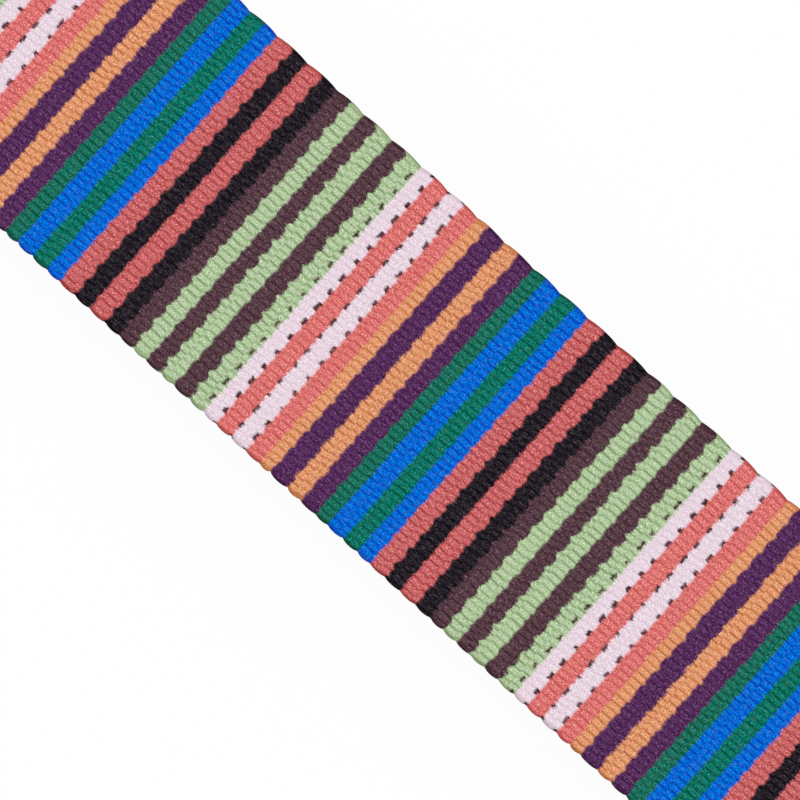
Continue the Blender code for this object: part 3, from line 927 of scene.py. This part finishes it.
def build_hardware_and_tabs():
    """Leather, metal and thread."""
    rounded_leather("front_tab_face_ply", "front_tab_face", "strap", TAB_ROUND * MM)
    rounded_leather("front_tab_backing_ply", "front_tab_backing", "strap", BACKING_ROUND * MM)
    rounded_leather("rear_tab_folded_leather", "rear_tab_leather", "rear_tab", TAB_ROUND * MM)
    wire_ring("rectangular_wire_ring", "rectangular_ring", "ring")
    for node in ("slider_frame", "slider_center_bar"):
        metal = frame["nodes"][node]
        metal.data.materials.clear()
        metal.data.materials.append(NICKEL)
    stitches("front_tab_face_stitches", "front_tab_needle_thread", "strap", -1)
    stitches("front_tab_back_stitches", "front_tab_bobbin_thread", "strap", 1)
    stitches("rear_tab_face_stitches", "rear_tab_needle_thread", "rear_tab", 1)
    stitches("rear_tab_back_stitches", "rear_tab_bobbin_thread", "rear_tab", -1)
    stitches("slider_loop_face_stitches", "slider_loop_needle_thread", "slider", -1)
    stitches("slider_loop_back_stitches", "slider_loop_bobbin_thread", "slider", 1)


def build_floor():
    """A white floor that keeps a soft shadow: paper, mostly replaced by plain white where it is seen."""
    corners = [(-1, -1), (1, -1), (1, 1), (-1, 1)]
    floor_mesh = bpy.data.meshes.new("floor")
    floor_mesh.from_pydata(
        [(x * FLOOR_HALF, y * FLOOR_HALF, -FLOOR_DROP) for x, y in corners], [], [(0, 1, 2, 3)],
    )
    floor = bpy.data.objects.new("floor", floor_mesh)
    bpy.context.scene.collection.objects.link(floor)
    material, tree, mixed = new_material("white_paper_floor", "ShaderNodeMixShader")
    path = add_node(tree, "ShaderNodeLightPath")
    seen = add_node(
        tree, "ShaderNodeMath", LARGER,
        {0: path.outputs["Is Camera Ray"], 1: path.outputs["Is Glossy Ray"]},
    )
    share = add_node(tree, "ShaderNodeMath", MULTIPLY, {0: seen, 1: WHITE_SHARE})
    paper = add_node(tree, "ShaderNodeBsdfDiffuse", inputs={"Color": linear("#fafafa")})
    white = add_node(tree, "ShaderNodeEmission", inputs={"Color": grey(1.0), "Strength": 1.0})
    for socket, source in zip(mixed.inputs, (share, paper, white)):
        tree.links.new(source.outputs[0], socket)
    floor_mesh.materials.append(material)


def build_light():
    """A world that looks white and lights more from above than from below, and two large soft lamps."""
    world = bpy.data.worlds.new("studio")
    world.use_nodes = True
    bpy.context.scene.world = world
    tree = world.node_tree
    background = tree.nodes["Background"]
    background.inputs["Color"].default_value = grey(1.0)
    path = add_node(tree, "ShaderNodeLightPath")
    direction = add_node(tree, "ShaderNodeTexCoord").outputs["Generated"]
    height = add_node(tree, "ShaderNodeSeparateXYZ", inputs={"Vector": direction}).outputs["Z"]
    sky = add_node(tree, "ShaderNodeMapRange", inputs={
        "Value": height, "To Min": SKY_LEVELS[0], "To Max": SKY_LEVELS[1],
    })
    level = add_node(
        tree, "ShaderNodeMix", {"data_type": "FLOAT"},
        {"Factor": path.outputs["Is Camera Ray"], "A": sky, "B": 1.0},
    )
    tree.links.new(level.outputs["Result"], background.inputs["Strength"])
    for name, place, size, power in LAMPS:
        lamp = bpy.data.lights.new(name, "AREA")
        lamp.size = size
        lamp.energy = power
        holder = bpy.data.objects.new(name, lamp)
        holder.location = place
        holder.rotation_euler = (-Vector(place)).to_track_quat("-Z", "Y").to_euler()
        bpy.context.scene.collection.objects.link(holder)


def build_camera():
    """The photograph's view: straight down on the clear run through a long lens."""
    data = bpy.data.cameras.new("photo_camera")
    data.lens = LENS
    data.sensor_width = SENSOR
    data.clip_start = 0.01
    data.clip_end = 100.0
    face_z = rear_z + half_web
    distance = FRAME_PIXELS * meters_per_pixel / 2 / (SENSOR / 2 / LENS)
    camera = bpy.data.objects.new("photo_camera", data)
    camera.location = (view_center_x, view_center_y, face_z + distance)
    camera.rotation_euler = (0.0, 0.0, math.radians(SLOPE_DEGREES))
    bpy.context.scene.collection.objects.link(camera)
    bpy.context.scene.camera = camera


build_camera()
build_webbing()
build_hardware_and_tabs()
build_floor()
build_light()
bpy.context.scene.view_settings.view_transform = "Standard"
